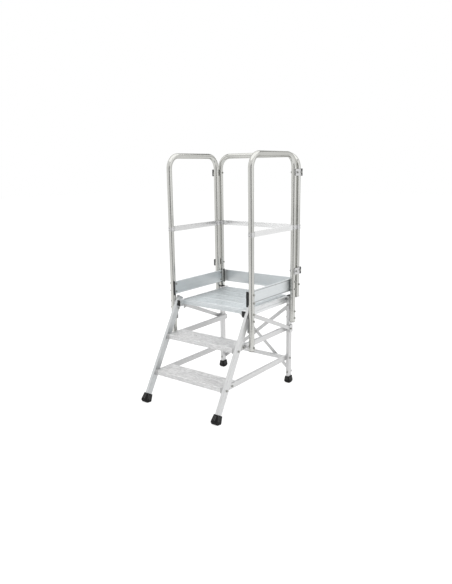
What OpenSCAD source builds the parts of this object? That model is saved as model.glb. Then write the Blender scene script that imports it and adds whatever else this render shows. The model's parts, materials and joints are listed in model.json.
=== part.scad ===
// Podium step: two treads and a guarded platform on a bolted aluminium frame.
// Millimetres, +Z up, +X to the right of someone climbing, +Y away from them.
// The origin is on the floor, under the middle of the whole outline.

/* [Climb] */
// Height of the first tread above the floor
first_step = 232; // [200:1:260]
// Height from one tread to the next, and from the last to the platform
rise = 250; // [225:5:280]
// Lean of the stiles from upright, in degrees
lean = 30; // [26:1:34]
// Depth of a tread from its nosing to its back edge
tread_depth = 175; // [160:5:200]
// Height of a tread's nosing
nosing_h = 37; // [30:1:40]
// Distance of a tread's nosing behind the front face of the stiles
tread_setback = 2; // [0:0.5:8]

/* [Side frames] */
// Clear width between the two side frames
frame_gap = 650; // [560:10:760]
// Thickness of the stiles and legs
stile_w = 25; // [22:1:32]
// Depth of a stile, square to its length
stile_d = 50; // [44:1:60]
// Depth of a rear leg
leg_d = 45; // [42:1:56]
// Wall of the frame tubes
frame_wall = 2; // [1.5:0.1:3]
// Distance of the stiles' top corners below the toe boards
stile_drop = 15; // [5:1:24]
// Height of a side bar
bar_h = 40; // [34:1:48]
// Thickness of a side bar
bar_w = 20; // [18:1:26]
// Width of a flat side brace
brace_w = 30; // [24:1:36]
// Thickness of a flat side brace
brace_t = 4; // [3:0.5:5]
// Height of the bracket that holds the brace to the leg
bracket_h = 60; // [50:1:80]
// Thickness of that bracket
bracket_t = 3; // [2:0.5:4]

/* [Rear bracing] */
// Height of the rear cross bar, at its middle
cross_bar_z = 205; // [195:1:215]
// Height of the rear cross bar's section
cross_bar_h = 30; // [24:1:36]
// Lower fixing height of the crossed flats
cross_low_z = 92; // [80:1:120]
// Distance of their upper fixing below the platform
cross_high_drop = 72; // [66:2:100]
// Width of the crossed flats
cross_w = 28; // [22:1:34]
// Thickness of the crossed flats
cross_t = 4; // [3:0.5:5]

/* [Platform] */
// Depth of the platform from nosing to back edge
deck_depth = 580; // [480:10:700]
// Distance of the platform's nosing behind the middle of the stiles
deck_setback = 2; // [0:1:10]
// Gap between planks
plank_gap = 1; // [0.5:0.1:2]
// Height of the platform's front nosing
deck_nosing_h = 40; // [34:1:46]
// Height of the planks behind the nosing
plank_h = 28; // [24:1:32]
// Width of a side beam
beam_w = 28; // [24:1:34]
// Height of a side beam
beam_h = 50; // [46:1:60]
// Drop of a side beam below the platform's surface
beam_drop = 5; // [2:1:8]
// Height of the lower band of a side beam
beam_band_h = 22; // [18:1:26]
// Depth of the groove above that band
beam_groove = 6; // [3:0.5:8]
// Width of the ledge that carries the planks
ledge_w = 26; // [20:1:34]
// Reach of a side beam in front of the front posts' middle
beam_lead = 9; // [8.5:0.5:14]
// Width of the gusset under the platform's front corner
gusset_w = 50; // [35:1:60]
// Height of that gusset
gusset_h = 36; // [28:1:44]

/* [Rib pattern] */
// Thickness of tread and plank walls
skin_t = 3; // [2:0.2:4]
// Distance from rib to rib
rib_pitch = 9; // [7:0.5:14]
// Width of a rib
rib_w = 3.5; // [2.5:0.1:5]
// Height of a rib
rib_h = 1.8; // [1:0.1:2.5]

/* [Guard rails] */
// Height of the top rail's middle above the platform
rail_h = 1100; // [950:10:1200]
// Height of the mid rail's middle above the platform
mid_h = 550; // [450:10:620]
// Outside diameter of the hoop tube
tube_d = 40; // [36:1:44]
// Wall of the hoop tube
tube_wall = 2; // [1.5:0.1:3]
// Bend radius of the hoops, at the tube's middle
bend_r = 100; // [80:5:130]
// Distance of the front posts ahead of the platform's nosing
post_lead = 29; // [24:1:34]
// Distance of the rear posts ahead of the middle of the legs
post_offset = 11; // [8:1:12]
// Distance from the rear posts back to the rear hoop
hoop_gap = 60; // [54:1:70]
// Length of a front post below its lowest bolt
post_tail = 25; // [20:1:40]
// Distance of the rear posts' ends below the platform
rear_post_drop = 204; // [190:2:240]
// Distance of the rear hoop's ends below the platform
rear_hoop_drop = 5; // [2:1:10]
// Height of a mid rail
mid_rail_h = 40; // [34:1:48]
// Thickness of a mid rail
mid_rail_t = 20; // [16:1:24]
// Height of the clamp bands that hold the mid rails
band_h = 32; // [26:1:40]
// Thickness of the clamp bands
band_t = 3; // [2:0.5:4]

/* [Toe boards] */
// Height of a toe board
toe_h = 100; // [90:5:150]
// Thickness of a toe board
toe_t = 12; // [11:1:18]
// Gap from the platform up to the toe boards
toe_lift = 42; // [38:1:60]
// Height of the thick lip along each edge of a toe board
toe_lip = 9; // [6:0.5:12]
// Depth of the recess between the lips
toe_recess = 2; // [1:0.5:2.5]
// Thickness of the end caps
cap_t = 5; // [3:0.5:8]
// Distance that a cap reaches below its board
cap_drop = 10; // [4:1:12]

/* [Latches] */
// Height of the lower latches above the platform
latch_low_h = 207; // [190:1:300]
// Distance of the upper latches below the hoops' bends
latch_drop = 34; // [30:1:200]
// Height of a latch plate
latch_h = 50; // [44:1:60]
// Thickness of a latch plate
latch_t = 6; // [4:0.5:8]
// Diameter of the latch pivots and studs
pivot_d = 10; // [8:0.5:12]
// Length of the plate behind its pivot
latch_tail = 18; // [14:1:20]
// Width of the grip over a latch's hook
grip_w = 16; // [12:1:20]
// Thickness of the grip on the outside of a latch
grip_skin = 3; // [2:0.5:4]

/* [Feet] */
// Base width of a front foot
front_foot_w = 56; // [48:1:70]
// Base depth of a front foot, square to the stile
front_foot_d = 70; // [64:1:90]
// Height of a front foot along the stile
front_foot_h = 70; // [60:1:84]
// Base width of a rear foot
rear_foot_w = 52; // [44:1:60]
// Base depth of a rear foot
rear_foot_d = 66; // [58:1:80]
// Height of a rear foot
rear_foot_h = 56; // [46:1:66]
// Wall of a foot round the tube
foot_wall = 6; // [4:0.5:8]
// Height that a foot's sole rolls up at its ends
sole_rise = 12; // [8:1:16]
// Thickness of a foot's sole
sole_t = 10; // [6:1:14]

/* [Fasteners] */
// Diameter of the bolts
bolt_d = 8; // [6:0.5:8]
// Clearance between a bolt and its hole, across the diameter
bolt_clear = 0.4; // [0.2:0.1:0.6]
// Distance across the flats of a bolt head
bolt_flats = 13; // [10:0.5:13]
// Height of a bolt head, and of a nut
bolt_head_h = 5.5; // [4:0.5:6]

/* [Hidden] */
$fn = 48;

// Clearances: a plug in its tube, a band round a post, a running pivot, a curved face near a flat one
plug_clear = 0.15;
band_clear = 0.1;
pivot_clear = 0.05;
near_clear = 0.3;

// Heights
deck_z = first_step + 2 * rise;
tread_tops = [first_step, first_step + rise];
bar_heights = [for (z = tread_tops) z - bar_h / 2];
beam_top_z = deck_z - beam_drop;
beam_low_z = beam_top_z - beam_h;
beam_bolt_z = beam_low_z + beam_band_h / 2;
ledge_z = deck_z - plank_h;
rail_z = deck_z + rail_h;
mid_z = deck_z + mid_h;
toe_low_z = deck_z + toe_lift;
toe_high_z = toe_low_z + toe_h;
latch_z = [deck_z + latch_low_h, rail_z - bend_r - latch_drop];
front_post_low = bar_heights[1] - post_tail;
rear_post_low = deck_z - rear_post_drop;
rear_hoop_low = deck_z - rear_hoop_drop;
cross_high_z = deck_z - cross_high_drop;

// Widths: the inner and outer faces of a side frame, the posts, and what lies between
frame_in = frame_gap / 2;
frame_out = frame_in + stile_w;
frame_x = frame_in + stile_w / 2;
bar_in = frame_in - bar_w;
deck_half = frame_in - beam_w;
tube_r = tube_d / 2;
post_face = frame_out + brace_t + near_clear;
post_x = post_face + tube_r;
toe_out = post_face - near_clear;
toe_in = toe_out - toe_t;
bracket_out = frame_out + brace_t + bracket_t;
plank_count = 4;

// Depths, all set out from the point where the stile's middle line meets the floor
half_stile_y = stile_d / 2 / cos(lean);
front_reach = front_foot_d / 2 * cos(lean) - sole_rise * sin(lean);
deck_run = deck_z * tan(lean) + deck_setback;
leg_run = deck_run + deck_depth - leg_d / 2;
rear_reach = leg_run - post_offset + hoop_gap + tube_r;
foot_y = (front_reach - rear_reach) / 2;
deck_front = foot_y + deck_run;
leg_y = foot_y + leg_run;
leg_back = leg_y + leg_d / 2;
leg_front = leg_y - leg_d / 2;
front_post_y = deck_front - post_lead;
rear_post_y = leg_y - post_offset;
rear_hoop_y = rear_post_y + hoop_gap;
beam_front = front_post_y - beam_lead;
function stile_y(z) = foot_y + z * tan(lean);
function tread_front(z) = stile_y(z) - half_stile_y + tread_setback;

// Stile ends, measured along the stile from the floor
stile_low = (sole_t + stile_d / 2 * sin(lean)) / cos(lean);
stile_high = (toe_low_z - stile_drop - stile_d / 2 * sin(lean)) / cos(lean);

// Bolts that run across the side frames, each as its [y, z] place
post_bolt_gap = 50;
post_cross_z = (front_post_y - foot_y) / tan(lean);
post_stile_bolts = [for (k = [-1, 1]) [front_post_y, post_cross_z + k * post_bolt_gap / 2]];
standoff_bolt = [front_post_y, bar_heights[1]];
stile_bar_bolts = [for (z = bar_heights) [stile_y(z), z]];
leg_bar_bolts = [for (z = bar_heights) [leg_y, z]];
beam_leg_bolt = [leg_y + post_offset, beam_bolt_z];
beam_stile_bolt = [(beam_front + stile_y(beam_bolt_z) + half_stile_y) / 2, beam_bolt_z];
rear_bolt_gap = 55;
rear_bolt_rise = 30;
post_leg_bolts = [for (k = [0, 1]) [rear_post_y, rear_post_low + rear_bolt_rise + k * rear_bolt_gap]];
toe_bolt_inset = 20;
toe_bolt_z = [toe_low_z + toe_bolt_inset, toe_high_z - toe_bolt_inset];
toe_bolts = [for (y = [front_post_y, rear_post_y], z = toe_bolt_z) [y, z]];
tread_screw_places = [70, 112];
tread_screw_drop = 20;
function tread_screws(k) =
    [for (d = tread_screw_places) [tread_front(tread_tops[k]) + d, tread_tops[k] - tread_screw_drop]];
brace_front = post_stile_bolts[1];
brace_back = leg_bar_bolts[1];
hole_d = bolt_d + bolt_clear;
screw_reach = 20;

// Colours
aluminium = "#d9dcdd";
bright_tube = "#bdbab2";
deck_grey = "#c3c9cc";
brace_grey = "#c2bfbf";
rubber = "#232325";
plastic = "#1d1f1f";
steel = "#8f8b86";
saddle_grey = "#5b5d5e";

// General shapes

module on_side(side) {
    if (side < 0) mirror([1, 0, 0]) children();
    else children();
}

module both_sides() {
    for (side = [-1, 1]) on_side(side) children();
}

// Extrudes an outline drawn in [y, z] from x0 to x1
module along_x(x0, x1) {
    translate([x0, 0, 0]) rotate([90, 0, 90]) linear_extrude(x1 - x0) children();
}

// Extrudes an outline drawn in [x, z] from y0 to y1
module along_y(y0, y1) {
    translate([0, y1, 0]) rotate([90, 0, 0]) linear_extrude(y1 - y0) children();
}

module round_rect(w, h, r) {
    square([w - 2 * r, h], center = true);
    square([w, h - 2 * r], center = true);
    for (x = [-1, 1], y = [-1, 1]) translate([x * (w / 2 - r), y * (h / 2 - r)]) circle(r);
}

tube_corner = 3;
module box_section(w, h, wall) {
    difference() {
        round_rect(w, h, tube_corner);
        square([w - 2 * wall, h - 2 * wall], center = true);
    }
}

// The section of a plug that slides into a box tube
module plug_section(w, h) {
    slack = 2 * (frame_wall + plug_clear);
    square([w - slack, h - slack], center = true);
}

// Bores along X at a list of [y, z] places, outwards from x0 on the right-hand side
bore_len = frame_gap;
module bores(places, x0 = 0) {
    for (p = places) translate([x0, p[0], p[1]]) rotate([0, 90, 0]) cylinder(d = hole_d, h = bore_len);
}

// Bolt along X with a washer and head outside seat_out and a nut inside seat_in
washer_t = 1.6;
washer_d = 17;
nut_show = 2;
hex_d = bolt_flats / cos(30);
module bolt(place, seat_in, seat_out, nut = true) {
    tip = nut ? seat_in - bolt_head_h - nut_show : seat_in;
    translate([0, place[0], place[1]]) rotate([0, 90, 0]) {
        translate([0, 0, tip]) cylinder(d = bolt_d, h = seat_out - tip);
        translate([0, 0, seat_out]) cylinder(d = washer_d, h = washer_t);
        translate([0, 0, seat_out + washer_t]) cylinder(d = hex_d, h = bolt_head_h, $fn = 6);
        if (nut) translate([0, 0, seat_in - bolt_head_h]) cylinder(d = hex_d, h = bolt_head_h, $fn = 6);
    }
}

// Stiles and their ends

module on_stile() {
    translate([frame_x, foot_y, 0]) rotate([-lean, 0, 0]) children();
}

module stile() {
    color(aluminium) difference() {
        on_stile() translate([0, 0, stile_low])
            linear_extrude(stile_high - stile_low) box_section(stile_w, stile_d, frame_wall);
        bores(concat(post_stile_bolts, stile_bar_bolts, [beam_stile_bolt]));
        flush_screw_sink();
    }
}

// The stile cap closes the tube with a plate and a plug
stile_cap_t = 3;
stile_cap_plug = 15;
module stile_cap() {
    on_stile() translate([0, 0, stile_high]) {
        linear_extrude(stile_cap_t) round_rect(stile_w, stile_d, tube_corner);
        translate([0, 0, -stile_cap_plug]) linear_extrude(stile_cap_plug)
            plug_section(stile_w, stile_d);
    }
}

module stile_caps() {
    color(aluminium) both_sides() stile_cap();
}

// The four corners of a rounded block, for the soft outline of a foot
foot_corner = 12;
collar_corner = 5;
collar_t = 3;
module corner_posts(w, d, r, h) {
    for (x = [-1, 1], y = [-1, 1])
        translate([x * (w / 2 - r), y * (d / 2 - r), 0]) cylinder(r = r, h = h, $fn = 32);
}

// The sole of a foot rolls up towards its front and back
sole_round = 6;
sole_roll = 12;
module foot_base(w, d) {
    corner_posts(w - 2 * sole_round, d - 2 * sole_roll, foot_corner - sole_round / 2, sole_t);
    translate([0, 0, sole_rise]) corner_posts(w, d, foot_corner, sole_t);
}

// A front foot stands square to its stile, and its heel is cut flat by the floor
module front_foot() {
    color(rubber) difference() {
        intersection() {
            on_stile() hull() {
                foot_base(front_foot_w, front_foot_d);
                translate([0, 0, front_foot_h - collar_t])
                    corner_posts(stile_w + 2 * foot_wall, stile_d + 2 * foot_wall, collar_corner, collar_t);
            }
            translate([frame_x - front_foot_w, foot_y - front_foot_d, 0])
                cube([2 * front_foot_w, 2 * front_foot_d + front_foot_h, 2 * front_foot_h]);
        }
        on_stile() translate([-stile_w / 2 - plug_clear, -stile_d / 2 - plug_clear, stile_low])
            cube([stile_w + 2 * plug_clear, stile_d + 2 * plug_clear, front_foot_h]);
    }
}

module rear_foot() {
    color(rubber) difference() {
        translate([frame_x, leg_y, 0]) hull() {
            foot_base(rear_foot_w, rear_foot_d);
            translate([0, 0, rear_foot_h - collar_t])
                corner_posts(stile_w + 2 * foot_wall, leg_d + 2 * foot_wall, collar_corner, collar_t);
        }
        translate([frame_in - plug_clear, leg_front - plug_clear, sole_t])
            cube([stile_w + 2 * plug_clear, leg_d + 2 * plug_clear, rear_foot_h]);
    }
}

// Rear legs

brace_bolt_x = frame_x;
seat_bolt_drop = 24;
back_bolt_z = [cross_low_z, cross_high_z, deck_z - seat_bolt_drop];
module back_bores() {
    for (z = back_bolt_z)
        translate([brace_bolt_x, leg_front - bore_len / 2, z]) rotate([-90, 0, 0])
            cylinder(d = hole_d, h = bore_len);
}

module rear_leg() {
    color(aluminium) difference() {
        translate([frame_x, leg_y, sole_t])
            linear_extrude(deck_z - sole_t) box_section(stile_w, leg_d, frame_wall);
        bores(concat(leg_bar_bolts, [beam_leg_bolt], post_leg_bolts));
        back_bores();
    }
}

leg_cap_t = 7;
leg_cap_plug = 12;
module leg_cap() {
    translate([frame_x, leg_y, deck_z]) {
        linear_extrude(leg_cap_t) round_rect(stile_w, leg_d, tube_corner);
        translate([0, 0, -leg_cap_plug]) linear_extrude(leg_cap_plug)
            plug_section(stile_w, leg_d);
    }
}

module leg_caps() {
    color(plastic) both_sides() leg_cap();
}

// Side bars run along the inside of a side frame, from a tread's nosing to the back of the leg

module side_bar(k) {
    y0 = tread_front(tread_tops[k]);
    color(aluminium) difference() {
        along_y(y0, leg_back) translate([frame_in - bar_w / 2, bar_heights[k]])
            box_section(bar_w, bar_h, frame_wall);
        bores(concat([stile_bar_bolts[k]], [leg_bar_bolts[k]], tread_screws(k)));
        if (k == 1) bores([standoff_bolt]);
    }
}

bar_plug_t = 3;
bar_plug_in = 6;
module bar_plug(k) {
    y0 = tread_front(tread_tops[k]);
    translate([frame_in - bar_w / 2, 0, bar_heights[k]]) {
        along_y(y0 - bar_plug_t, y0) round_rect(bar_w, bar_h, tube_corner);
        along_y(y0, y0 + bar_plug_in)
            plug_section(bar_w, bar_h);
    }
}

module bar_plugs() {
    color(steel) both_sides() for (k = [0, 1]) bar_plug(k);
}

// Flat bar with round ends between two [u, v] places, drilled at both
module flat_link(a, b, w, d) {
    len = norm(b - a);
    translate(a) rotate(atan2(b[1] - a[1], b[0] - a[0])) difference() {
        union() {
            translate([0, -w / 2]) square([len, w]);
            for (u = [0, len]) translate([u, 0]) circle(d = w);
        }
        for (u = [0, len]) translate([u, 0]) circle(d = d);
    }
}

module side_brace() {
    color(brace_grey) along_x(frame_out, frame_out + brace_t)
        flat_link(brace_front, brace_back, brace_w, hole_d);
}

// The leg bracket folds round the back of the leg and over the end of the brace
module leg_bracket() {
    z0 = bar_heights[1] - bracket_h / 2;
    difference() {
        union() {
            translate([frame_in, leg_back, z0]) cube([bracket_out - frame_in, bracket_t, bracket_h]);
            translate([frame_out + brace_t, leg_front, z0])
                cube([bracket_t, leg_d + bracket_t, bracket_h]);
        }
        bores([brace_back]);
    }
}

module leg_brackets() {
    color(aluminium) both_sides() leg_bracket();
}

// Rear bracing

module rear_cross_bar() {
    color(aluminium) along_x(-bar_in, bar_in) translate([leg_y, cross_bar_z])
        box_section(bar_w, cross_bar_h, frame_wall);
}

module rear_brace(layer, rising) {
    y0 = leg_back + layer * cross_t;
    low = [-rising * brace_bolt_x, cross_low_z];
    high = [rising * brace_bolt_x, cross_high_z];
    color(brace_grey) difference() {
        along_y(y0, y0 + cross_t) flat_link(low, high, cross_w, hole_d);
        translate([0, y0 - cross_t, (cross_low_z + cross_high_z) / 2])
            rotate([-90, 0, 0]) cylinder(d = hole_d, h = 3 * cross_t);
    }
}

// Washers hold the outer flat a flat's thickness off the legs
module brace_washers() {
    color(steel) for (p = [[brace_bolt_x, cross_low_z], [-brace_bolt_x, cross_high_z]])
        along_y(leg_back, leg_back + cross_t) translate(p) difference() {
            circle(d = stile_w);
            circle(d = hole_d);
        }
}

// Treads and planks share one ribbed outline, drawn back from its front top edge

screw_boss_d = 14;
foot_lip = 16;
front_round = 6;
module boss(place) {
    translate(place) circle(d = screw_boss_d);
    translate([place[0] - skin_t / 2, place[1]]) square([skin_t, -place[1] - rib_h]);
}

module ribbed_outline(depth, front_h, back_h, bosses = [], nose_ribs = true) {
    nose_x = nose_ribs ? rib_h : 0;
    nose_low = front_h - rib_h - front_round;
    nose_count = nose_ribs ? floor(nose_low / rib_pitch) : 0;
    rib_room = depth - 2 * front_round;
    rib_count = floor(rib_room / rib_pitch);
    first_rib = (depth - (rib_count - 1) * rib_pitch) / 2;
    difference() {
        union() {
            translate([nose_x + front_round, -rib_h - skin_t]) square([depth - nose_x - front_round, skin_t]);
            intersection() {
                translate([nose_x + front_round, -rib_h - front_round]) difference() {
                    circle(front_round);
                    circle(front_round - skin_t);
                }
                translate([nose_x, -rib_h - front_round]) square(front_round);
            }
            translate([nose_x, -front_h]) square([skin_t, nose_low]);
            translate([nose_x, -front_h]) square([foot_lip, skin_t]);
            if (nose_count > 0) for (k = [0 : nose_count - 1])
                translate([0, -front_h + (k + 0.5) * nose_low / nose_count - rib_w / 2])
                    square([rib_h + skin_t / 2, rib_w]);
            translate([depth - skin_t, -back_h]) square([skin_t, back_h - rib_h]);
            translate([depth - foot_lip, -back_h]) square([foot_lip, skin_t]);
            translate([depth / 2 - skin_t / 2, -back_h]) square([skin_t, back_h - rib_h]);
            translate([depth / 2 - foot_lip / 2, -back_h]) square([foot_lip, skin_t]);
            for (k = [0 : rib_count - 1])
                translate([first_rib + k * rib_pitch - rib_w / 2, -rib_h - skin_t / 2])
                    square([rib_w, rib_h + skin_t / 2]);
            for (p = bosses) boss(p);
        }
        for (p = bosses) translate(p) circle(d = hole_d);
    }
}

module tread(k) {
    bosses = [for (d = tread_screw_places) [d, -tread_screw_drop]];
    color(aluminium) along_x(-bar_in, bar_in) translate([tread_front(tread_tops[k]), tread_tops[k]])
        ribbed_outline(tread_depth, nosing_h, nosing_h, bosses);
}

module deck_plank(k) {
    pitch = deck_depth / plank_count;
    front = k == 0 ? deck_nosing_h : plank_h;
    color(deck_grey) along_x(-deck_half, deck_half) translate([deck_front + k * pitch, deck_z])
        ribbed_outline(pitch - plank_gap, front, plank_h, nose_ribs = k == 0);
}

// Side beams: a hollow band below, a grooved outer face above, and a ledge inside for the planks

beam_wall = 2.5;
module beam_outline() {
    band_top = beam_low_z + beam_band_h;
    lip_low = beam_top_z - beam_wall - 1;
    groove_x = frame_in - beam_groove;
    difference() {
        polygon([
            [deck_half, beam_low_z], [frame_in, beam_low_z], [frame_in, band_top], [groove_x, band_top],
            [groove_x, lip_low], [frame_in, lip_low], [frame_in, beam_top_z], [deck_half, beam_top_z]
        ]);
        translate([deck_half + beam_wall, beam_low_z + beam_wall])
            square([beam_w - 2 * beam_wall, beam_band_h - 2 * beam_wall]);
        translate([deck_half + beam_wall, band_top])
            square([beam_w - beam_groove - 2 * beam_wall, beam_top_z - beam_wall - band_top]);
    }
}

module ledge_outline() {
    translate([deck_half - ledge_w, ledge_z - skin_t]) square([ledge_w, skin_t]);
}

module deck_beam() {
    color(deck_grey) difference() {
        union() {
            along_y(beam_front, leg_back) beam_outline();
            along_y(deck_front + foot_lip + 2 * skin_t, leg_back) ledge_outline();
        }
        bores(concat([beam_leg_bolt, beam_stile_bolt], post_stile_bolts));
    }
}

beam_plug_t = 4;
beam_plug_in = 8;
beam_plug_rise = 8;
module beam_plug() {
    hollow_w = beam_w - 2 * (beam_wall + plug_clear);
    hollow_h = beam_band_h - 2 * (beam_wall + plug_clear);
    translate([deck_half, beam_front - beam_plug_t, beam_low_z + beam_plug_rise])
        cube([beam_w, beam_plug_t, beam_h - beam_plug_rise]);
    translate([deck_half + beam_wall + plug_clear, beam_front, beam_low_z + beam_wall + plug_clear])
        cube([hollow_w, beam_plug_in, hollow_h]);
}

module beam_plugs() {
    color(plastic) both_sides() beam_plug();
}

// A gusset fills the corner under the nosing, flat against the inside of the beam
gusset_t = 4;
module deck_gusset() {
    low_z = deck_z - deck_nosing_h;
    along_y(deck_front, deck_front + gusset_t) polygon([
        [deck_half, low_z], [deck_half - gusset_w, low_z],
        [deck_half - gusset_t, low_z - gusset_h], [deck_half, low_z - gusset_h]
    ]);
}

module deck_gussets() {
    color(aluminium) both_sides() deck_gusset();
}

// Hoops: an inverted U in the XZ plane, its first post on the Z axis

module hoop_path(d, span, low_a, low_b) {
    spring_z = rail_z - bend_r;
    translate([0, 0, low_a]) cylinder(d = d, h = spring_z - low_a);
    translate([span, 0, low_b]) cylinder(d = d, h = spring_z - low_b);
    translate([bend_r, 0, rail_z]) rotate([0, 90, 0]) cylinder(d = d, h = span - 2 * bend_r);
    translate([bend_r, 0, spring_z]) rotate([90, 0, 0]) rotate(90)
        rotate_extrude(angle = 90) translate([bend_r, 0]) circle(d = d);
    translate([span - bend_r, 0, spring_z]) rotate([90, 0, 0])
        rotate_extrude(angle = 90) translate([bend_r, 0]) circle(d = d);
}

open_end = 1;
module hoop(span, low_a, low_b) {
    difference() {
        hoop_path(tube_d, span, low_a, low_b);
        hoop_path(tube_d - 2 * tube_wall, span, low_a - open_end, low_b - open_end);
    }
}

latch_places = [for (z = latch_z) [rear_post_y, z]];
stud_places = [for (z = latch_z) [rear_hoop_y, z]];

// The right latches pivot on the side hoop and catch the rear hoop; the left ones the other way round.
// A pivot runs through both walls of its post, and a stud only through the outer one.
module side_hoop(side) {
    color(bright_tube) on_side(side) difference() {
        translate([post_x, front_post_y, 0]) rotate(90)
            hoop(rear_post_y - front_post_y, front_post_low, rear_post_low);
        bores(concat(post_stile_bolts, [standoff_bolt], post_leg_bolts, toe_bolts));
        if (side > 0) bores(latch_places);
        else bores(latch_places, post_x);
    }
}

rear_toe_z = (toe_low_z + toe_high_z) / 2;
module rear_hoop() {
    color(bright_tube) difference() {
        translate([-post_x, rear_hoop_y, 0]) hoop(2 * post_x, rear_hoop_low, rear_hoop_low);
        both_sides() bores([[rear_hoop_y, rear_toe_z]]);
        on_side(-1) bores(stud_places);
        on_side(1) bores(stud_places, post_x);
    }
}

plug_flange = 5;
plug_taper = 3;
post_plug_in = 14;
module post_plug() {
    translate([0, 0, -plug_flange]) cylinder(d1 = tube_d - 2 * plug_taper, d2 = tube_d, h = plug_taper);
    translate([0, 0, plug_taper - plug_flange]) cylinder(d = tube_d, h = plug_flange - plug_taper);
    cylinder(d = tube_d - 2 * (tube_wall + plug_clear), h = post_plug_in);
}

module post_plugs() {
    color(steel) both_sides() {
        translate([post_x, front_post_y, front_post_low]) post_plug();
        translate([post_x, rear_post_y, rear_post_low]) post_plug();
    }
}

// Mid rails sit between their posts in clamp bands, each with a spigot in the rail's end

clamp_neck = 10;
clamp_spigot = 20;
rail_start = tube_r + clamp_neck;
module mid_rail(span) {
    along_x(rail_start, span - rail_start) box_section(mid_rail_t, mid_rail_h, frame_wall);
}

module rail_clamp() {
    plug_t = mid_rail_t - 2 * (frame_wall + plug_clear);
    plug_h = mid_rail_h - 2 * (frame_wall + plug_clear);
    difference() {
        union() {
            translate([0, 0, -band_h / 2]) cylinder(r = tube_r + band_t, h = band_h);
            translate([0, -mid_rail_t / 2, -mid_rail_h / 2]) cube([rail_start, mid_rail_t, mid_rail_h]);
            translate([0, -plug_t / 2, -plug_h / 2]) cube([rail_start + clamp_spigot, plug_t, plug_h]);
        }
        translate([0, 0, -mid_rail_h]) cylinder(r = tube_r + band_clear, h = 2 * mid_rail_h);
    }
}

side_span = rear_post_y - front_post_y;
module on_side_posts(side) {
    on_side(side) translate([post_x, front_post_y, mid_z]) rotate(90) children();
}

module on_rear_posts() {
    translate([-post_x, rear_hoop_y, mid_z]) children();
}

module clamp_pair(span) {
    rail_clamp();
    translate([span, 0, 0]) mirror([1, 0, 0]) rail_clamp();
}

module mid_rail_clamps() {
    color(bright_tube) {
        for (side = [-1, 1]) on_side_posts(side) clamp_pair(side_span);
        on_rear_posts() clamp_pair(2 * post_x);
    }
}

// Toe boards: a hollow board with thick lips and a shallow recess on both faces

toe_wall = 2;
module toe_outline() {
    web_t = toe_t - 2 * toe_recess;
    difference() {
        union() {
            for (k = [-1, 1])
                translate([0, k * (toe_h - toe_lip) / 2]) round_rect(toe_t, toe_lip, tube_corner);
            square([web_t, toe_h - toe_lip], center = true);
        }
        square([web_t - 2 * toe_wall, toe_h - 2 * toe_lip], center = true);
    }
}

toe_end = 14;
toe_x = (toe_in + toe_out) / 2;
toe_front = front_post_y - toe_end;
toe_back = rear_post_y + toe_end;
module side_toe_board(side) {
    color(deck_grey) on_side(side) difference() {
        along_y(toe_front, toe_back) translate([toe_x, rear_toe_z]) toe_outline();
        bores(toe_bolts);
    }
}

rear_cap_t = 8;
rear_toe_half = post_x - tube_r - near_clear - rear_cap_t;
module rear_toe_board() {
    color(deck_grey) along_x(-rear_toe_half, rear_toe_half)
        translate([rear_hoop_y, rear_toe_z]) toe_outline();
}

// A cap covers a board's end, reaches a little below it and plugs its hollow
cap_over = 1;
cap_plug = 8;
cap_rise = 3;
module toe_cap_face() {
    translate([-toe_t / 2 - cap_over, toe_low_z - cap_drop])
        square([toe_t + 2 * cap_over, toe_h + cap_drop + cap_rise]);
}

module toe_cap_plug() {
    web_t = toe_t - 2 * (toe_recess + toe_wall + plug_clear);
    translate([0, rear_toe_z]) square([web_t, toe_h - 2 * (toe_lip + plug_clear)], center = true);
}

module side_toe_caps() {
    translate([toe_x, 0, 0]) {
        along_y(toe_front - cap_t, toe_front) toe_cap_face();
        along_y(toe_front, toe_front + cap_plug) toe_cap_plug();
        along_y(toe_back, toe_back + cap_t) toe_cap_face();
        along_y(toe_back - cap_plug, toe_back) toe_cap_plug();
    }
}

// The rear board's caps are hollowed to fit their posts
module rear_toe_cap() {
    difference() {
        translate([0, rear_hoop_y, 0]) {
            along_x(rear_toe_half, post_x) toe_cap_face();
            along_x(rear_toe_half - cap_plug, rear_toe_half) toe_cap_plug();
        }
        translate([post_x, rear_hoop_y, 0]) cylinder(r = tube_r + band_clear, h = toe_high_z + toe_h);
        bores([[rear_hoop_y, rear_toe_z]], rear_toe_half);
    }
}

module toe_board_caps() {
    color(plastic) both_sides() {
        side_toe_caps();
        rear_toe_cap();
    }
}

// Saddles and standoffs carry the posts on the side frames

saddle_wing = 6;
module post_saddle(y, z0, z1) {
    difference() {
        translate([frame_out, y - tube_r, z0])
            cube([post_face - frame_out + saddle_wing, tube_d, z1 - z0]);
        translate([post_x, y, z0 - 1]) cylinder(r = tube_r + band_clear, h = z1 - z0 + 2);
    }
}

front_saddle_top = 8;
front_saddle_h = 106;
module front_post_saddles() {
    top_z = post_cross_z - front_saddle_top;
    color(saddle_grey) both_sides() difference() {
        post_saddle(front_post_y, top_z - front_saddle_h, top_z);
        bores(post_stile_bolts);
    }
}

rear_saddle_edge = 16;
module rear_post_saddles() {
    low_z = post_leg_bolts[0][1] - rear_saddle_edge;
    high_z = post_leg_bolts[1][1] + rear_saddle_edge;
    color(saddle_grey) both_sides() difference() {
        post_saddle(rear_post_y, low_z, high_z);
        bores(post_leg_bolts);
    }
}

standoff_d = 24;
module post_standoffs() {
    color(aluminium) both_sides() difference() {
        translate([frame_in, standoff_bolt[0], standoff_bolt[1]]) rotate([0, 90, 0])
            cylinder(d = standoff_d, h = post_x - frame_in);
        translate([post_x, front_post_y, front_post_low])
            cylinder(r = tube_r + band_clear, h = 2 * post_tail);
        bores([standoff_bolt]);
    }
}

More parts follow.
